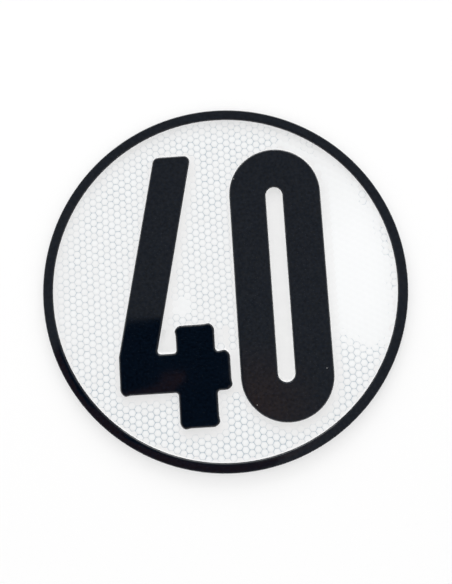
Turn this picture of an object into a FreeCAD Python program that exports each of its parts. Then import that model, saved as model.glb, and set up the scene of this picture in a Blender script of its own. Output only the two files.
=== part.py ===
import FreeCAD, Part
import math
import os

# Round speed plate pressed from one sheet of film-faced aluminium, in millimetres.
# It lies on its back: the face looks up +Z, and +Y points to the top of the numerals.
plate_diameter = 200.0
aluminium_thickness = 1.0
film_thickness = 0.3

# Pressed relief: the sheet climbs a sloping flank, in degrees from the flat, to a level crest
relief_height = 1.4
flank_angle = 50.0
bend_radius = 0.9

# Rim: a raised ring, measured to half way up its inner flank, with its edge turned down
rim_width = 5.45
edge_lift = 0.2

# Bends of the rim are drawn as flats, each turning no more than this many degrees
rim_flat_turn = 30.0

# Numerals, measured half way up their flanks
numeral_margin = 19.55
numeral_gap = 5.4
pair_shift = -1.6
convex_corner_radius = 3.2
concave_corner_radius = 1.8

# Figure four: a leaning stroke, a cross bar and a short upright
four_leaning_stroke = 20.6
four_lean = 24.45
four_notch_width = 10.95
four_upright_width = 20.85
four_upright_rise = 14.95
four_bar_overhang = 7.8
four_bar_height = 20.9
four_bar_foot = 19.3

# Figure zero: a tall oval with straight sides and a slot, a little off its middle
zero_slot_width = 9.6
zero_slot_shift = -0.4
zero_side_stroke = 20.2
zero_end_stroke = 21.25

# Sizes that follow from the ones above
plate_radius = plate_diameter / 2
sheet_thickness = aluminium_thickness + film_thickness
crest_level = sheet_thickness + relief_height
flank_slope = math.radians(flank_angle)
flank_run = relief_height / math.tan(flank_slope)
back_inset = sheet_thickness * math.tan(flank_slope / 2)
rim_flank_radius = plate_radius - rim_width

numeral_top = rim_flank_radius - numeral_margin
four_width = four_leaning_stroke + four_notch_width + four_upright_width + four_bar_overhang
zero_width = zero_slot_width + 2 * zero_side_stroke
four_left = pair_shift - (four_width + numeral_gap + zero_width) / 2
zero_left = four_left + four_width + numeral_gap

COINCIDENT = 0.001


def bend_points(before, corner, after, radius, flat_turn):
    """Points along the arc that rounds one corner; three of them where no flat is asked for."""
    back = (before - corner).normalize()
    ahead = (after - corner).normalize()
    half_angle = back.getAngle(ahead) / 2
    sweep = math.pi - 2 * half_angle
    setback = radius / math.tan(half_angle)
    centre = corner + (back + ahead).normalize() * (radius / math.sin(half_angle))
    first_spoke = corner + back * setback - centre
    last_spoke = corner + ahead * setback - centre
    count = math.ceil(math.degrees(sweep) / flat_turn - COINCIDENT) if flat_turn else 2
    points = []
    for step in range(count + 1):
        turned = sweep * step / count
        spoke = first_spoke * math.sin(sweep - turned) + last_spoke * math.sin(turned)
        points.append(centre + spoke / math.sin(sweep))
    return points


def straight_edges(points):
    """Straight edges from point to point, without those of no length."""
    pairs = zip(points, points[1:])
    return [Part.makeLine(a, b) for a, b in pairs if a.distanceToPoint(b) > COINCIDENT]


def rounded_wire(corners, place, flat_turn=None):
    """Closed wire through corners (x, y, radius), each rounded by an arc or by flats."""
    points = [FreeCAD.Vector(x, y, 0) for x, y, _ in corners]
    following = points[1:] + points[:1]
    bends = []
    for index, (_, _, radius) in enumerate(corners):
        bend = bend_points(points[index - 1], points[index], following[index], radius, flat_turn)
        bends.append([place(point) for point in bend])
    edges = []
    for index, bend in enumerate(bends):
        edges += straight_edges([bends[index - 1][-1], bend[0]])
        if flat_turn:
            edges += straight_edges(bend)
        else:
            edges.append(Part.Arc(*bend).toShape())
    return Part.Wire(edges)


def grown(corners, distance):
    """Move each side of a counter-clockwise outline outwards, with its arcs kept concentric."""
    points = [FreeCAD.Vector(x, y, 0) for x, y, _ in corners]
    following = points[1:] + points[:1]
    moved = []
    for index, (x, y, radius) in enumerate(corners):
        along = (points[index] - points[index - 1]).normalize()
        ahead = (following[index] - points[index]).normalize()
        turn = math.atan2(along.cross(ahead).z, along.dot(ahead))
        stretch = distance * math.tan(turn / 2)
        moved.append((
            x + along.y * distance + along.x * stretch,
            y - along.x * distance + along.y * stretch,
            radius + math.copysign(1, turn) * distance,
        ))
    return moved


def four_outline():
    """Corners of the figure four, counter-clockwise from the foot of its upright."""
    foot = -numeral_top
    bar_low = foot + four_bar_foot
    bar_top = bar_low + four_bar_height
    upright_top = bar_top + four_upright_rise
    left = four_left
    right = left + four_width
    upright_right = right - four_bar_overhang
    upright_left = upright_right - four_upright_width
    convex = convex_corner_radius
    concave = concave_corner_radius
    return [
        (upright_left, foot, convex),
        (upright_right, foot, convex),
        (upright_right, bar_low, concave),
        (right, bar_low, convex),
        (right, bar_top, convex),
        (upright_right, bar_top, concave),
        (upright_right, upright_top, convex),
        (upright_left, upright_top, convex),
        (upright_left, bar_top, concave),
        (left + four_leaning_stroke, bar_top, concave),
        (left + four_lean + four_leaning_stroke, numeral_top, convex),
        (left + four_lean, numeral_top, convex),
        (left, bar_top, convex),
        (left, bar_low, convex),
        (upright_left, bar_low, concave),
    ]


def oval_outline(left, width, top):
    """Corners of an upright oval with round ends, counter-clockwise."""
    right = left + width
    end_radius = width / 2
    return [
        (left, -top, end_radius),
        (right, -top, end_radius),
        (right, top, end_radius),
        (left, top, end_radius),
    ]


def flanked_block(corners, foot_growth, crest_growth, base):
    """Solid with sloping flanks, from an outline's foot up to its crest."""
    foot_lift = FreeCAD.Vector(0, 0, base)
    crest_lift = FreeCAD.Vector(0, 0, base + relief_height)
    foot = rounded_wire(grown(corners, foot_growth), lambda point: point + foot_lift)
    crest = rounded_wire(grown(corners, crest_growth), lambda point: point + crest_lift)
    return Part.makeLoft([foot, crest], True, True)


def numeral_blocks(growth, base):
    """The two numerals as blocks that stand on a level."""
    foot = growth + flank_run / 2
    crest = growth - flank_run / 2
    slot_left = zero_left + zero_side_stroke + zero_slot_shift
    slot_top = numeral_top - zero_end_stroke
    four = flanked_block(four_outline(), foot, crest, base)
    zero = flanked_block(oval_outline(zero_left, zero_width, numeral_top), foot, crest, base)
    slot = flanked_block(oval_outline(slot_left, zero_slot_width, slot_top), -foot, -crest, base)
    return [four, zero.cut(slot)]


def edges_at(shape, level):
    """Edges of the numerals that lie at one level; the rim's are centred on the axis."""
    found = []
    for edge in shape.Edges:
        box = edge.BoundBox
        off_axis = math.hypot(edge.CenterOfMass.x, edge.CenterOfMass.y)
        is_level = max(abs(box.ZMin - level), abs(box.ZMax - level)) < COINCIDENT
        if is_level and off_axis > COINCIDENT:
            found.append(edge)
    return found


def section_place(point):
    """Turn a point of the sheet's section, given as radius and height, upright."""
    return FreeCAD.Vector(point.x, 0, point.y)


def rimmed_disc():
    """Flat field and raised rim, turned from the section of the sheet."""
    foot_radius = rim_flank_radius - flank_run / 2
    crest_radius = rim_flank_radius + flank_run / 2
    inner_wall = plate_radius - sheet_thickness
    section = rounded_wire([
        (0, sheet_thickness, 0),
        (0, 0, 0),
        (foot_radius + back_inset, 0, bend_radius),
        (crest_radius + back_inset, relief_height, 0),
        (inner_wall, relief_height, 0),
        (inner_wall, edge_lift, 0),
        (plate_radius, edge_lift, 0),
        (plate_radius, crest_level, bend_radius),
        (crest_radius, crest_level, bend_radius),
        (foot_radius, sheet_thickness, 0),
    ], section_place, rim_flat_turn)
    return Part.Face(section).revolve(FreeCAD.Vector(0, 0, 0), FreeCAD.Vector(0, 0, 1), 360)


def embossed_plate():
    """Press the numerals through the sheet: raised on the face, hollow behind."""
    plate = rimmed_disc()
    for raised in numeral_blocks(0, sheet_thickness):
        plate = plate.fuse(raised.makeFillet(bend_radius, edges_at(raised, crest_level)))
    for hollow in numeral_blocks(-back_inset, 0):
        plate = plate.cut(hollow)
    return plate.makeFillet(bend_radius, edges_at(plate, 0))


os.makedirs("parts", exist_ok=True)
embossed_plate().exportStep("parts/embossed_plate.step")
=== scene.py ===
import math
import random

import bmesh
import bpy
from mathutils import Matrix, Vector
from mathutils.bvhtree import BVHTree


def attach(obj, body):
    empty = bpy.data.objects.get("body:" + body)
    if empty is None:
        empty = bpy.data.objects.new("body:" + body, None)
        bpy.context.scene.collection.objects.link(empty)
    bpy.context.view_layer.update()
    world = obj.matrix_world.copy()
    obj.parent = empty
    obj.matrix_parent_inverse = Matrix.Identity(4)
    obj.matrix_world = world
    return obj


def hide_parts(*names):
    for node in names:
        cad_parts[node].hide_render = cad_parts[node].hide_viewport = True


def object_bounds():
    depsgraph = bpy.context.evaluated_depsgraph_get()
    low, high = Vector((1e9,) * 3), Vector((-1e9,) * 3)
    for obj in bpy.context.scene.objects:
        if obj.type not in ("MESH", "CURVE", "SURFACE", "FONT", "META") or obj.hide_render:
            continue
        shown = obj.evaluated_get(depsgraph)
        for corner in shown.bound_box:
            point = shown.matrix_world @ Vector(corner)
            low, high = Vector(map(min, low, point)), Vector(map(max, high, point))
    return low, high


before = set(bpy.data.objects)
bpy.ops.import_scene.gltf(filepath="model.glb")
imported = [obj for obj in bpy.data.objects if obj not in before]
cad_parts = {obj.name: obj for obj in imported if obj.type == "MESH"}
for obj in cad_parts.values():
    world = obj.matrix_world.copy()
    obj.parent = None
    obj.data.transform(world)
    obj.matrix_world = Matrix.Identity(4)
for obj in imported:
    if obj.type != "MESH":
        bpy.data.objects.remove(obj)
cad_low, cad_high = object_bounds()

MM = 0.001
UP = Vector((0, 0, 1))
WELD = 0.001 * MM

# Photograph: its frame in pixels, and where its camera stood over the plate, turned in degrees
IMAGE_WIDTH = 452
IMAGE_HEIGHT = 584
PIXELS_PER_MM = 1.8165
CAMERA_DISTANCE = 350.0 * MM
CAMERA_TURN = (-5.85, -1.865, 3.581)
CAMERA_SHIFT = (-1.036 * MM, 2.692 * MM)
CAMERA_NEAREST = 10.0 * MM
SENSOR = 36.0

# Film: linear levels of its plain face and of its cells, the colour of its seams, its grain and gloss
COOL = (0.985, 1.0, 1.008)
PLAIN_FILM = (0.865, 0.885)
CELL_FILM = (0.925, 0.97)
SEAM = (0.27, 0.38, 0.46, 1)
FILM_BEADS = 0.22 * MM
FILM_BUMP = (0.12, 0.02 * MM)
FILM_MOTTLE = 9 * MM
FILM_ROUGHNESS = (0.34, 0.44)
FILM_GLOSS = 0.4

# Foil: the share of the relief that stays white below it, its linear levels, grain, gloss and pinholes
FOIL_START = 0.4
INK = (0.4, 1.0, 2.2)
FOIL_LEVELS = (0.0018, 0.0028)
FOIL_GRAIN_LEVEL = 0.0058
FOIL_GRAIN = 1.3 * MM
FOIL_HAZE = 14 * MM
FOIL_MOTTLE = 1.6 * MM
FOIL_PEEL = 1.1 * MM
FOIL_BUMP = (0.03, 0.01 * MM)
FOIL_ROUGHNESS = (0.05, 0.08)
FOIL_GLOSS = (0.37, 0.63)
PINHOLES = ((9.1, 59.7), (52.5, -47.5), (13.8, -64.8))
PINHOLE_RADIUS = 0.26 * MM
PINHOLE_LEVEL = 0.6

# Bare metal: its linear levels, its rolling lines and its dull patches
METAL_LEVELS = (0.66, 0.76)
METAL_LINES = 0.35 * MM
METAL_LINES_STRETCH = (0.02, 1, 1)
METAL_BUMP = (0.1, 0.03 * MM)
METAL_PATCHES = 22 * MM
METAL_DULL_LEVEL = 0.58
METAL_DULL_SHARE = 0.35
METAL_ROUGHNESS = (0.3, 0.42)

# Plate: how far a wall's normal may point up or down, the bend in degrees from which an edge is sharp,
# and the weight of large faces in its shading
WALL_TILT = 0.01
PLATE_SHARP_ANGLE = 34.0
PLATE_SHADING_WEIGHT = 100

# Square corners of the four run wide, as its die was cut: each corner in millimetres, and the way of the
# side after it. The side swells to a peak part of the way along its reach. What lies off the side moves
# as a whole up to a share of the reach, and not at all beyond the reach.
OVERRUN = 0.45 * MM
OVERRUN_REACH = 6.0 * MM
OVERRUN_PEAK = 0.42
OVERRUN_WHOLE = 0.5
OVERRUN_CUTS = 8
OVERRUN_CORNERS = (
    ((-27.85, -75.0), (1, 0)), ((-7.0, -75.0), (0, 1)), ((0.8, -55.7), (0, 1)), ((0.8, -34.8), (-1, 0)),
    ((-7.0, -19.85), (-1, 0)), ((-27.85, -19.85), (0, -1)), ((-59.4, -55.7), (1, 0)),
)

# Honeycomb of the film: six-sided cells in upright columns. Each is a low dome inside its half of the
# seams, with its bottom sunk in the film.
CELL_PITCH = 3.845 * MM
CELL_ANCHOR = (-73.7 * MM, 7.85 * MM)
CELL_MARGIN = 0.4 * MM
CELL_GAP = 0.01 * MM
CELL_SINK = 0.05 * MM
CELL_RISE = 0.045 * MM
CELL_CORNER_CUT = 0.22
CELL_CLIP_STEPS = 8
CELL_SHARP_ANGLE = 40.0
DOME_SHARE = 0.55
DOME_RISE = 0.75 * CELL_RISE
SEAM_WIDTH = 0.42 * MM
SEAM_RISE = 0.006 * MM

# Strength of the seams: it varies from place to place, and grows towards the plate's top and foot
SEAM_SEED = 7
SEAM_GRAIN = 0.2 * MM
SEAM_UNEVENNESS = (0.25, 1.0)
JUNCTION_UNEVENNESS = (0.4, 0.95)
SEAM_FAINTNESS = 1.2
SEAM_GAIN = 0.9
SEAM_GAIN_TOP = 1.12
SEAM_GAIN_FOOT = 1.4
SEAM_GAIN_REACH = (20.0 * MM, 85.0 * MM)
LIP_SEAM = 0.08

# Whiteness of the cells: it varies from cell to cell, and is less on a dome's side and at its lip
WHITENESS_SEED = 11
CELL_WHITENESS = (0.6, 1.0)
DOME_TONE = 0.8
LIP_TONE = 0.35

# The press flattens the cells beside the numerals: none nearer than the first, all beyond the second.
# Both distances stretch on the numerals' far side, lower right, and shrink on the side away from it.
# Cells that two flanks hem in within a distance are gone, and so are cells fainter than a share.
FLATTENED_TO = 0.9 * MM
WHOLE_FROM = 3.4 * MM
HEMMED_IN = 9.0 * MM
FAINTEST = 0.05
FAR_SIDE = Vector((0.45, -0.89, 0.0))
FAR_SIDE_STRETCH = 1.8
NEAR_SIDE_SHRINK = 0.7

# Cells beside the rim are dulled where they lie on its far side, lower right of it: by this share at
# most
RIM_DULLS = 0.45
RIM_DULLS_SIDE = (0.0, 0.5)
RIM_DULLS_REACH = (3.5 * MM, 9.5 * MM)

# Painted glare: right of the zero the seams are painted out as light washed them out, between two
# bearings in degrees, less beside the rim, where it spares tufts of them at a few bearings.
# It is painted too round one place inside the four. What it washes out is painted one tone.
GLARE_BEARINGS = (-28.0, 67.0)
GLARE_EDGE = 0.16
GLARE_FROM = 30.0 * MM
GLARE_RIM = (1.5 * MM, 6.0 * MM)
GLARE_SPARES_RIM = 0.2
GLARE_SPARES_TUFT = 0.8
GLARE_TUFTS = (56.0, 29.5, 15.5, 9.0, -2.0)
GLARE_TUFT_REACH = (1.2, 3.2)
GLARE_FADE = 1.3
GLARE_SOFTNESS = 0.3
GLARE_PATCH = Vector((-23.5 * MM, -8.5 * MM))
GLARE_PATCH_REACH = (4.5 * MM, 7.5 * MM)
GLARE_TONE = 0.7

# Sky: light levels, of which 1 shows a colour as written, by how far a direction points up
SKY_HIGH = 0.3
SKY_LOW_NEAR = 0.5
SKY_LOW_FAR = 1.4
SKY_BAND = (0.35, 0.6)
SKY_BELOW = (0.62, 1.05)
SKY_HORIZON = (-0.02, 0.02)

# Floor: it fades out between two distances
FLOOR_REACH = 0.7
FLOOR_FADE = (0.3, 0.6)
FLOOR_GAP = 0.02 * MM
FLOOR_ROUGHNESS = 0.9

# Lamps: place, width and depth, and the level to which each lights the plate
OVERHEAD = ((0.0, 0.0, 2.5), (1.2, 1.2), 0.52)
STRIP = ((0.0, 2.4, 0.56), (3.2, 0.6), 0.09)

# Soft spot on the film right of the zero: where it points, how wide and bright it is, how it gets there
SPOT_AIM = (73 * MM, 4 * MM)
SPOT_REACH = 25 * MM
SPOT_BLEND = 0.5
SPOT_SIZE = 0.012
SPOT_THROW = Vector((0.0, 0.8, 0.42))
SPOT_LIGHT = 0.064

# Dark and warm things beside the camera: how high, and over which millimetres of the plate they show
DARK_CARD_HEIGHT = 0.6
DARK_CARD = ((-150, -52), (-62, -15), (3, -15), (6, -80), (24, -110), (-150, -150))
WARM_CARD_HEIGHT = 0.55
WARM_CARD = (
    (-150, -52), (-88, -26), (-80, -60), (-56, -54.5), (-43, -52.5), (-37, -49.5), (-36, -45),
    (-24, -44.5), (-24, -48.5), (-29, -54), (-62, -76), (0, -86), (24, -86), (24, -110), (-150, -150),
)
WARM = (0.16, 0.065, 0.04, 1)

# Warm haze: how high, round which millimetres of the plate it shows, and its fade in metres
HAZE_HEIGHT = 0.65
HAZE_AT = (10, -69)
HAZE_FADE = (0.0, 0.12)
HAZE = (0.5, 0.32, 0.23, 1)

# Dim ceiling that the foil mirrors, and dim ground that the bare back mirrors: level, height and fade
CEILING = 0.3
CEILING_HEIGHT = 1.2
CEILING_FADE = (1.6, 3.2)
GROUND = 0.6
GROUND_HEIGHT = -1.2
GROUND_FADE = (0.4, 2.4)


def smooth_step(low, high, value):
    """Ease from 0 at low to 1 at high."""
    share = min(max((value - low) / (high - low), 0.0), 1.0)
    return share * share * (3 - 2 * share)


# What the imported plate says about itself
plate_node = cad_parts["embossed_plate"]
plate_radius = (cad_high.x - cad_low.x) / 2
crest_level = cad_high.z
face_tree = BVHTree.FromObject(plate_node, bpy.context.evaluated_depsgraph_get())
film_level = face_tree.ray_cast(UP, -UP)[0].z
foil_line = film_level + FOIL_START * (crest_level - film_level)
film_points = [v.co for v in plate_node.data.vertices if abs(v.co.z - film_level) < WELD]
field_radius = max(point.xy.length for point in film_points)


def put_in_scene(name, data):
    """New object in the scene, from its mesh, camera or lamp."""
    piece = bpy.data.objects.new(name, data)
    bpy.context.scene.collection.objects.link(piece)
    return piece


class Nodes:
    """Short way to write the node tree of a material or a world."""

    def __init__(self, owner):
        owner.use_nodes = True
        self.owner = owner
        self.tree = owner.node_tree
        self.shader = next(node for node in self.tree.nodes if node.outputs)
        coordinates = self.add("ShaderNodeTexCoord")
        self.place = coordinates.outputs["Object"]
        self.way = coordinates.outputs["Generated"]

    def add(self, kind, **settings):
        """Add a node with its properties set."""
        node = self.tree.nodes.new(kind)
        for name, value in settings.items():
            setattr(node, name, value)
        return node

    def put(self, value, socket):
        """Give a socket a value or the link that feeds it."""
        if isinstance(value, bpy.types.NodeSocket):
            self.tree.links.new(value, socket)
        else:
            socket.default_value = value

    def noise(self, size, detail=2.0, stretch=(1, 1, 1)):
        """Noise whose features are about size metres across, from 0 to 1."""
        mapping = self.add("ShaderNodeMapping")
        self.put(self.place, mapping.inputs["Vector"])
        mapping.inputs["Scale"].default_value = stretch
        texture = self.add("ShaderNodeTexNoise")
        self.put(mapping.outputs["Vector"], texture.inputs["Vector"])
        texture.inputs["Scale"].default_value = 1 / size
        texture.inputs["Detail"].default_value = detail
        return texture.outputs["Fac"]

    def span(self, value, low, high, source=(0.3, 0.7)):
        """Map a value's source range, by default that of most noise, to low and high."""
        node = self.add("ShaderNodeMapRange")
        self.put(value, node.inputs["Value"])
        node.inputs["From Min"].default_value, node.inputs["From Max"].default_value = source
        self.put(low, node.inputs["To Min"])
        self.put(high, node.inputs["To Max"])
        return node.outputs["Result"]

    def mix(self, share, first, second):
        """Mix two colours by a share."""
        node = self.add("ShaderNodeMix", data_type="RGBA")
        self.put(share, node.inputs["Factor"])
        self.put(first, node.inputs["A"])
        self.put(second, node.inputs["B"])
        return next(socket for socket in node.outputs if socket.type == "RGBA")

    def between(self, noise, levels, tint=(1, 1, 1)):
        """Colour that noise moves between two levels."""
        low, high = levels
        return self.mix(self.span(noise, 0.0, 1.0), grey(low, tint), grey(high, tint))

    def bump(self, height, strength, distance):
        """Tilt the normal by a height."""
        node = self.add("ShaderNodeBump")
        node.inputs["Strength"].default_value = strength
        node.inputs["Distance"].default_value = distance
        self.put(height, node.inputs["Height"])
        return node.outputs["Normal"]

    def parts(self, vector):
        """The three numbers of a vector."""
        node = self.add("ShaderNodeSeparateXYZ")
        self.put(vector, node.inputs["Vector"])
        return node.outputs

    def distance(self, place, point=(0, 0, 0)):
        """How far a place is from a point."""
        node = self.add("ShaderNodeVectorMath", operation="DISTANCE")
        self.put(place, node.inputs[0])
        self.put(point, node.inputs[1])
        return node.outputs["Value"]

    def largest(self, first, *others):
        """The largest of several values."""
        for other in others:
            node = self.add("ShaderNodeMath", operation="MAXIMUM")
            self.put(first, node.inputs[0])
            self.put(other, node.inputs[1])
            first = node.outputs["Value"]
        return first

    def attribute(self, name):
        """A piece's own number at each point, 0 where it has none."""
        return self.add("ShaderNodeAttribute", attribute_name=name).outputs["Fac"]

    def finish(self, **sockets):
        """Feed the shader's sockets, named with _ for a space, and give the material or world."""
        for name, value in sockets.items():
            self.put(value, self.shader.inputs[name.replace("_", " ")])
        return self.owner

    def let_through(self, share):
        """Mix the shader with a clear one by a share, and give the material."""
        clear = self.add("ShaderNodeBsdfTransparent")
        choose = self.add("ShaderNodeMixShader")
        self.put(share, choose.inputs[0])
        self.put(self.shader.outputs["BSDF"], choose.inputs[1])
        self.put(clear.outputs["BSDF"], choose.inputs[2])
        self.put(choose.outputs["Shader"], self.tree.nodes["Material Output"].inputs["Surface"])
        return self.owner


def new_material(name):
    """Nodes of a new material."""
    return Nodes(bpy.data.materials.new(name))


def grey(level, tint=(1, 1, 1)):
    """Linear colour of one level with a tint."""
    return (level * tint[0], level * tint[1], level * tint[2], 1)


def film_material():
    """White reflective film: fine beads, bright cells and blue-grey seams."""
    nodes = new_material("reflective_film")
    beads = nodes.noise(FILM_BEADS)
    mottle = nodes.noise(FILM_MOTTLE, detail=3.0)
    plain = nodes.between(mottle, PLAIN_FILM)
    cell = nodes.between(beads, CELL_FILM, COOL)
    colour = nodes.mix(nodes.attribute("cell"), plain, cell)
    colour = nodes.mix(nodes.attribute("seam"), colour, SEAM)
    return nodes.finish(
        Base_Color=colour,
        Roughness=nodes.span(mottle, *FILM_ROUGHNESS),
        Specular_IOR_Level=FILM_GLOSS,
        Normal=nodes.bump(beads, *FILM_BUMP),
    )


def foil_material():
    """Black hot-stamped foil: glossy, faintly uneven, with a few pinholes."""
    nodes = new_material("black_foil")
    haze = nodes.noise(FOIL_HAZE, detail=3.0)
    peel = nodes.noise(FOIL_PEEL)
    grain = nodes.noise(FOIL_GRAIN)
    mottle = nodes.noise(FOIL_MOTTLE)
    colour = nodes.between(haze, FOIL_LEVELS, INK)
    colour = nodes.mix(nodes.span(grain, 0.0, 1.0), colour, grey(FOIL_GRAIN_LEVEL, INK))
    flat_place = nodes.add("ShaderNodeVectorMath", operation="MULTIPLY")
    nodes.put(nodes.place, flat_place.inputs[0])
    nodes.put((1, 1, 0), flat_place.inputs[1])
    for x, y in PINHOLES:
        offset = nodes.distance(flat_place.outputs["Vector"], (x * MM, y * MM, 0))
        hole = nodes.span(offset, 1.0, 0.0, (PINHOLE_RADIUS / 2, PINHOLE_RADIUS))
        colour = nodes.mix(hole, colour, grey(PINHOLE_LEVEL))
    return nodes.finish(
        Base_Color=colour,
        Roughness=nodes.span(haze, *FOIL_ROUGHNESS),
        Specular_IOR_Level=nodes.span(mottle, *FOIL_GLOSS),
        Normal=nodes.bump(peel, *FOIL_BUMP),
    )


def aluminium_material():
    """Bare mill-finished aluminium: fine rolling lines and a few dull patches."""
    nodes = new_material("bare_aluminium")
    lines = nodes.noise(METAL_LINES, detail=4.0, stretch=METAL_LINES_STRETCH)
    patches = nodes.noise(METAL_PATCHES, detail=3.0)
    colour = nodes.between(lines, METAL_LEVELS, COOL)
    colour = nodes.mix(nodes.span(patches, 0.0, METAL_DULL_SHARE), colour, grey(METAL_DULL_LEVEL))
    return nodes.finish(
        Base_Color=colour,
        Metallic=1.0,
        Roughness=nodes.span(patches, *METAL_ROUGHNESS),
        Normal=nodes.bump(lines, *METAL_BUMP),
    )


film = film_material()
foil = foil_material()
aluminium = aluminium_material()
FILM, FOIL, ALUMINIUM = range(3)


def finish_of(face):
    """Which finish a face of the plate has."""
    centre = face.calc_center_median()
    on_edge = centre.xy.length > plate_radius - (crest_level - foil_line)
    looks_out = face.normal.xy.dot(centre.xy) > 0
    if centre.z > foil_line or (on_edge and looks_out and face.normal.z > -WALL_TILT):
        return FOIL
    return FILM if face.normal.z > WALL_TILT else ALUMINIUM


def run_wide(shape, corner, along):
    """Swell the side that leaves a corner along a way, from the corner's arc until it settles."""
    out = along.cross(UP)
    for cut in range(OVERRUN_CUTS):
        near = [v for v in shape.verts if (v.co - corner).xy.length < OVERRUN_REACH]
        faces = {face for vertex in near for face in vertex.link_faces}
        edges = {edge for face in faces for edge in face.edges}
        verts = {vertex for face in faces for vertex in face.verts}
        place = corner + along * OVERRUN_REACH * (cut + 1) / OVERRUN_CUTS
        bmesh.ops.bisect_plane(
            shape, geom=[*verts, *edges, *faces], dist=WELD, plane_co=place, plane_no=along)
    for vertex in shape.verts:
        offset = vertex.co - corner
        share = offset.dot(along) / OVERRUN_REACH
        swell = smooth_step(0, OVERRUN_PEAK, share) * smooth_step(1, OVERRUN_PEAK, share)
        beside = smooth_step(1, OVERRUN_WHOLE, abs(offset.dot(out)) / OVERRUN_REACH)
        vertex.co += out * OVERRUN * swell * beside


def dressed_plate():
    """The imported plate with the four's corners run wide, cut where the foil ends on the flanks."""
    shape = bmesh.new()
    shape.from_mesh(plate_node.data)
    bmesh.ops.remove_doubles(shape, verts=shape.verts, dist=WELD)
    for corner, way in OVERRUN_CORNERS:
        run_wide(shape, Vector((*corner, 0)) * MM, Vector((*way, 0)))
    everything = shape.verts[:] + shape.edges[:] + shape.faces[:]
    bmesh.ops.bisect_plane(
        shape, geom=everything, dist=WELD, plane_co=UP * foil_line, plane_no=UP)
    shape.normal_update()
    for face in shape.faces:
        face.smooth = True
        face.material_index = finish_of(face)
    mesh = bpy.data.meshes.new("pressed_plate")
    shape.to_mesh(mesh)
    shape.free()
    mesh.set_sharp_from_angle(angle=math.radians(PLATE_SHARP_ANGLE))
    for material in (film, foil, aluminium):
        mesh.materials.append(material)
    plate = put_in_scene("pressed_plate", mesh)
    shading = plate.modifiers.new("flat_crests", "WEIGHTED_NORMAL")
    shading.keep_sharp = True
    shading.weight = PLATE_SHADING_WEIGHT
    return plate


def raised_numerals(plate):
    """Tree of the numerals' foil, to measure how far a cell is from them."""
    mesh = plate.data
    rim_foot = field_radius - FLATTENED_TO
    faces = []
    for face in mesh.polygons:
        if face.material_index == FOIL and face.center.xy.length < rim_foot:
            faces.append(tuple(face.vertices))
    return BVHTree.FromPolygons([vertex.co for vertex in mesh.vertices], faces)


def left_by_press(centre, numerals):
    """How much of a cell the press has left: little beside a numeral, none between two flanks."""
    place = Vector((centre.x, centre.y, (foil_line + crest_level) / 2))
    sides = [numerals.ray_cast(place, Vector((way, 0, 0)), HEMMED_IN)[0] for way in (-1, 1)]
    if all(sides):
        return 0.0
    nearest, _, _, distance = numerals.find_nearest(place)
    towards = (place - nearest).normalized().dot(FAR_SIDE)
    reach = 1 + towards * (FAR_SIDE_STRETCH if towards > 0 else NEAR_SIDE_SHRINK)
    return smooth_step(FLATTENED_TO * reach, WHOLE_FROM * reach, distance)


def left_by_rim(centre):
    """How much of a cell is left beside the rim: less on the rim's far side."""
    side = smooth_step(*RIM_DULLS_SIDE, -centre.normalized().dot(FAR_SIDE.xy))
    near = 1 - smooth_step(*RIM_DULLS_REACH, field_radius - centre.length)
    return 1 - RIM_DULLS * side * near


def painted_glare(centre):
    """How far painted glare washes the film out at a place, from 0 to 1."""
    if centre.x < GLARE_FROM:
        return 1 - smooth_step(*GLARE_PATCH_REACH, (centre - GLARE_PATCH).length)
    first, last = GLARE_BEARINGS
    bearing = math.degrees(math.atan2(centre.y, centre.x))
    off_middle = abs(2 * bearing - first - last) / (last - first)
    near_rim = 1 - smooth_step(*GLARE_RIM, field_radius - centre.length)
    off_tuft = smooth_step(*GLARE_TUFT_REACH, min(abs(bearing - tuft) for tuft in GLARE_TUFTS))
    spared = near_rim * (GLARE_SPARES_TUFT + (GLARE_SPARES_RIM - GLARE_SPARES_TUFT) * off_tuft)
    return (1 - spared) * (1 - smooth_step(1 - GLARE_EDGE, 1 + GLARE_EDGE, off_middle))


def shown(seams, most, painted_washout):
    """What shows of some seams: where painted glare washes the film out, the strongest stay longest."""
    hidden = GLARE_FADE * painted_washout
    left = [seam * smooth_step(hidden - GLARE_SOFTNESS, hidden, seam) for seam in seams]
    return [min(1.0, most * seam) for seam in left]


def seam_gain(centre):
    """How much stronger seams show towards the foot of the plate, and a little towards its top."""
    most = SEAM_GAIN_TOP if centre.y > 0 else SEAM_GAIN_FOOT
    return SEAM_GAIN + (most - SEAM_GAIN) * smooth_step(*SEAM_GAIN_REACH, abs(centre.y))


class Unevenness:
    """Strength of the seams from place to place, the same for all cells that share one."""

    def __init__(self, seed):
        self.draw = random.Random(seed)
        self.known = {}

    def at(self, point, limits):
        """Strength at a place, drawn between limits when it is first asked for."""
        key = (round(point.x / SEAM_GRAIN), round(point.y / SEAM_GRAIN))
        if key not in self.known:
            share = self.draw.random() ** SEAM_FAINTNESS
            self.known[key] = limits[0] + (limits[1] - limits[0]) * share
        return self.known[key]

    def round_cell(self, centre, offsets, limits):
        """Strengths at places round a cell's centre."""
        return [self.at(centre + offset, limits) for offset in offsets]


def cell_centres():
    """Centres of the honeycomb's cells on the flat field, a margin away from the rim."""
    column_pitch = CELL_PITCH * math.sin(math.radians(60))
    anchor = Vector(CELL_ANCHOR)
    count = math.ceil(2 * plate_radius / column_pitch)
    for column in range(-count, count + 1):
        for row in range(-count, count + 1):
            step = Vector((column * column_pitch, (row + column % 2 / 2) * CELL_PITCH))
            centre = anchor + step
            if centre.length < field_radius - CELL_MARGIN:
                yield centre


def lies_flat(point, surface):
    """Whether a place lies on the flat field, clear of the rim and the numerals."""
    return surface.ray_cast(Vector((*point, 1)), -UP)[0].z < film_level + WELD


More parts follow.
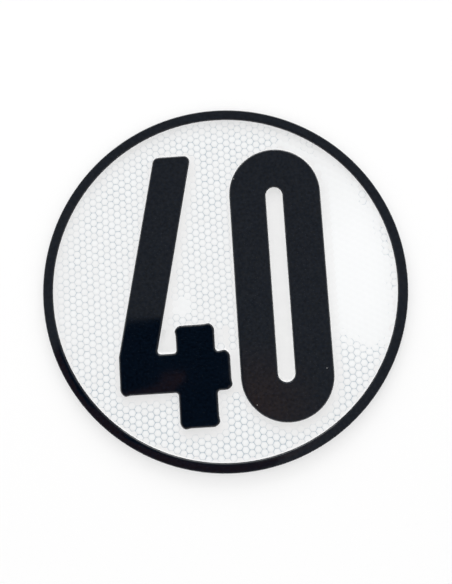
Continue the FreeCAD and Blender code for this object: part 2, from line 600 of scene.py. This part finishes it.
def inside_field(point, centre, surface):
    """Bring a point that lies over a flank back towards its cell's centre, to the flank's foot."""
    if lies_flat(point, surface):
        return point
    flat, raised = centre, point
    for _ in range(CELL_CLIP_STEPS):
        middle = (flat + raised) / 2
        if lies_flat(middle, surface):
            flat = middle
        else:
            raised = middle
    return flat


class Cells:
    """Mesh of the film's cells as it grows, with the strength of seam and the tone at each point."""

    def __init__(self, surface):
        self.surface = surface
        self.points, self.faces, self.seams, self.tones = [], [], [], []
        reach = CELL_PITCH / math.sqrt(3)
        turns = [math.radians(60 * k) for k in range(6)]
        self.corners = [Vector((math.cos(turn), math.sin(turn))) * reach for turn in turns]
        self.middles = [(c + self.corners[(k + 1) % 6]) / 2 for k, c in enumerate(self.corners)]
        shrink = 1 - CELL_GAP / CELL_PITCH
        self.outer_corners = [c * shrink for c in self.corners]
        self.outer_middles = [c * shrink for c in self.middles]
        opening = 1 - SEAM_WIDTH / CELL_PITCH
        self.lip = []
        for k, corner in enumerate(self.corners):
            for neighbour in (self.corners[k - 1], self.corners[(k + 1) % 6]):
                self.lip.append(corner.lerp(neighbour, CELL_CORNER_CUT) * opening)
        self.dome = [c * DOME_SHARE for c in self.lip]

    def ring(self, centre, outline, level, seams, tone):
        """Add points round a centre, kept on the flat field, and give their numbers."""
        first = len(self.points)
        for offset, seam in zip(outline, seams):
            point = inside_field(centre + offset, centre, self.surface)
            self.points.append((*point, level))
            self.seams.append(seam)
            self.tones.append(tone)
        return range(first, len(self.points))

    def add(self, centre, at_corners, at_middles, tones):
        """Add a cell: a low closed dome ringed by its half of the seams."""
        seam_tone, lip_tone, dome_tone, top_tone = tones
        seam_level = film_level + SEAM_RISE
        at_lip = [LIP_SEAM * at_corners[k // 2] for k in range(12)]
        none = [0.0] * 12
        bottom = self.ring(centre, self.outer_corners, film_level - CELL_SINK, at_corners, seam_tone)
        corner = self.ring(centre, self.outer_corners, seam_level, at_corners, seam_tone)
        middle = self.ring(centre, self.outer_middles, seam_level, at_middles, seam_tone)
        lip = self.ring(centre, self.lip, seam_level, at_lip, lip_tone)
        dome = self.ring(centre, self.dome, seam_level + DOME_RISE, none, dome_tone)
        top = self.ring(centre, [Vector((0, 0))], seam_level + CELL_RISE, none, top_tone)[0]
        self.faces.append(tuple(reversed(bottom)))
        for k in range(6):
            n = (k + 1) % 6
            self.faces.append((bottom[k], bottom[n], corner[n], middle[k], corner[k]))
            self.faces.append((corner[k], middle[k], lip[2 * k + 1]))
            self.faces.append((middle[k], corner[n], lip[2 * n]))
            self.faces.append((middle[k], lip[2 * n], lip[2 * k + 1]))
            self.faces.append((corner[k], lip[2 * k + 1], lip[2 * k]))
        for k in range(12):
            n = (k + 1) % 12
            self.faces.append((lip[k], lip[n], dome[n], dome[k]))
            self.faces.append((dome[k], dome[n], top))

    def piece(self):
        """The cells as one piece."""
        mesh = bpy.data.meshes.new("film_cells")
        mesh.from_pydata(self.points, [], self.faces)
        for name, values in (("seam", self.seams), ("cell", self.tones)):
            mesh.attributes.new(name, "FLOAT", "POINT").data.foreach_set("value", values)
        mesh.materials.append(film)
        mesh.shade_smooth()
        mesh.set_sharp_from_angle(angle=math.radians(CELL_SHARP_ANGLE))
        return put_in_scene("film_cells", mesh)


def honeycomb(plate):
    """Cells of the film, as far as the press has left them, dulled beside the rim, and with painted
    glare.
    """
    numerals = raised_numerals(plate)
    cells = Cells(BVHTree.FromObject(plate, bpy.context.evaluated_depsgraph_get()))
    unevenness = Unevenness(SEAM_SEED)
    whiteness = random.Random(WHITENESS_SEED)
    for centre in cell_centres():
        left = left_by_press(centre, numerals) * left_by_rim(centre)
        if left < FAINTEST or not lies_flat(centre, cells.surface):
            continue
        # Painted glare: where light washed the film out, the seams are painted out and the cells painted
        # one tone
        painted_washout = painted_glare(centre)
        white = whiteness.uniform(*CELL_WHITENESS)
        most = left * seam_gain(centre)
        corner_seams = unevenness.round_cell(centre, cells.corners, JUNCTION_UNEVENNESS)
        middle_seams = unevenness.round_cell(centre, cells.middles, SEAM_UNEVENNESS)
        tones_up = (0.0, LIP_TONE * white, DOME_TONE * white, white)
        tones = [left * (tone + (GLARE_TONE - tone) * painted_washout) for tone in tones_up]
        at_corners = shown(corner_seams, most, painted_washout)
        at_middles = shown(middle_seams, most, painted_washout)
        cells.add(centre, at_corners, at_middles, tones)
    return cells.piece()


plate = dressed_plate()
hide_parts("embossed_plate")
cells = honeycomb(plate)
for piece in (plate, cells):
    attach(piece, "root")


def photo_camera():
    """Camera where the photograph was taken from."""
    turn_x, turn_y, turn_z = (math.radians(angle) for angle in CAMERA_TURN)
    turn = Matrix.Rotation(turn_x, 4, "X") @ Matrix.Rotation(turn_y, 4, "Y")
    turn = turn @ Matrix.Rotation(turn_z, 4, "Z")
    shift = Matrix.Translation((*CAMERA_SHIFT, -CAMERA_DISTANCE))
    data = bpy.data.cameras.new("camera")
    data.sensor_width = SENSOR
    data.lens = PIXELS_PER_MM * (CAMERA_DISTANCE / MM) * SENSOR / max(IMAGE_WIDTH, IMAGE_HEIGHT)
    data.clip_start = CAMERA_NEAREST
    camera = put_in_scene("camera", data)
    camera.matrix_world = (shift @ turn).inverted()
    bpy.context.scene.camera = camera
    return camera


def plane(name, corners, material):
    """Flat stage piece through its corners."""
    mesh = bpy.data.meshes.new(name)
    mesh.from_pydata(corners, [], [tuple(range(len(corners)))])
    mesh.materials.append(material)
    piece = put_in_scene(name, mesh)
    return piece


def square(centre, reach):
    """Corners of a level square round a centre."""
    return [centre + Vector((x, y, 0)) * reach for x, y in ((-1, -1), (1, -1), (1, 1), (-1, 1))]


def floor_material():
    """White floor that fades out into the white background and is clear from below."""
    nodes = new_material("white_floor")
    nodes.finish(Base_Color=grey(1.0), Roughness=FLOOR_ROUGHNESS, Specular_IOR_Level=0.0)
    from_below = nodes.add("ShaderNodeNewGeometry").outputs["Backfacing"]
    far_out = nodes.span(nodes.distance(nodes.place), 0.0, 1.0, FLOOR_FADE)
    return nodes.let_through(nodes.largest(from_below, far_out))


def studio_world():
    """White where it is seen or mirrored. Its light is brightest low beyond the plate, and dim above."""
    nodes = Nodes(bpy.data.worlds.new("studio"))
    way = nodes.parts(nodes.way)
    low = nodes.span(way["Y"], SKY_LOW_NEAR, SKY_LOW_FAR, (-1, 1))
    sky = nodes.span(way["Z"], low, SKY_HIGH, SKY_BAND)
    below = nodes.span(way["Z"], *SKY_BELOW, (-1, 0))
    level = nodes.span(way["Z"], below, sky, SKY_HORIZON)
    ray = nodes.add("ShaderNodeLightPath").outputs
    seen = nodes.largest(ray["Is Camera Ray"], ray["Is Glossy Ray"], ray["Is Transmission Ray"])
    white_behind = nodes.span(seen, level, 1.0, (0, 1))
    bpy.context.scene.world = nodes.finish(Color=grey(1.0), Strength=white_behind)


def hang(name, lamp, place, way):
    """Hang a lamp at a place so that it looks along a way."""
    piece = put_in_scene(name, lamp)
    piece.location = place
    piece.rotation_mode = "QUATERNION"
    piece.rotation_quaternion = way.to_track_quat("-Z", "Y")
    return piece


def area_lamp(name, place, size, level):
    """Lamp that looks at the plate and lights it to a level, of which 1 shows colours as written."""
    lamp = bpy.data.lights.new(name, "AREA")
    lamp.shape = "RECTANGLE"
    lamp.size, lamp.size_y = size
    throw = Vector(place)
    lamp.energy = level * math.pi ** 2 * throw.length ** 3 / throw.z
    return hang(name, lamp, throw, -throw)


def glare_spot():
    """Soft spot that makes the film brightest right of the zero."""
    lamp = bpy.data.lights.new("glare_spot", "SPOT")
    throw = SPOT_THROW
    lamp.spot_size = 2 * math.atan(SPOT_REACH / throw.length)
    lamp.spot_blend = SPOT_BLEND
    lamp.shadow_soft_size = SPOT_SIZE
    lamp.energy = SPOT_LIGHT * 4 * math.pi ** 2 * throw.length ** 3 / throw.z
    spot = hang("glare_spot", lamp, Vector((*SPOT_AIM, film_level)) + throw, -throw)
    spot.visible_glossy = False


def mirrored_place(camera, point, height):
    """Where, at a height, the camera sees a thing mirrored in the crests at a point of the plate."""
    eye = camera.matrix_world.translation
    on_crest = Vector((*point, crest_level))
    return on_crest + (on_crest - eye).reflect(UP) * ((height - crest_level) / (eye.z - crest_level))


def glow(name, colour):
    """Nodes of a material that shows one colour under any light."""
    nodes = new_material(name)
    nodes.finish(Base_Color=grey(0.0), Specular_IOR_Level=0.0)
    nodes.finish(Emission_Color=colour, Emission_Strength=1.0)
    return nodes


def only_mirrored(card):
    """Keep a card out of sight of all but mirror images."""
    card.visible_camera = False
    card.visible_diffuse = False
    card.visible_shadow = False


def mirrored_card(name, camera, on_plate, height, colour):
    """Card that the foil mirrors over given millimetres of the plate."""
    corners = [mirrored_place(camera, Vector(corner) * MM, height) for corner in on_plate]
    only_mirrored(plane(name, corners, glow(name, colour).owner))


def mirrored_haze(name, centre, fade, colour):
    """Level sheet with no edge, only mirrored: it fades out between two distances from its centre."""
    nodes = glow(name, colour)
    shade = nodes.let_through(nodes.span(nodes.distance(nodes.place, centre), 0.0, 1.0, fade))
    only_mirrored(plane(name, square(centre, fade[1]), shade))


def studio(camera):
    """White floor and background, the lamps, and the things that are only mirrored."""
    bpy.context.scene.view_settings.view_transform = "Standard"
    floor = plane("floor", square(-UP * FLOOR_GAP, FLOOR_REACH), floor_material())
    floor.visible_diffuse = False
    floor.visible_glossy = False
    studio_world()
    overhead = area_lamp("overhead", *OVERHEAD)
    overhead.visible_glossy = False
    area_lamp("strip", *STRIP)
    glare_spot()
    mirrored_card("dark_card", camera, DARK_CARD, DARK_CARD_HEIGHT, grey(0.0))
    mirrored_card("warm_card", camera, WARM_CARD, WARM_CARD_HEIGHT, WARM)
    warm_place = mirrored_place(camera, Vector(HAZE_AT) * MM, HAZE_HEIGHT)
    mirrored_haze("warm_haze", warm_place, HAZE_FADE, HAZE)
    mirrored_haze("dim_ceiling", UP * CEILING_HEIGHT, CEILING_FADE, grey(CEILING))
    mirrored_haze("dim_ground", UP * GROUND_HEIGHT, GROUND_FADE, grey(GROUND))


studio(photo_camera())
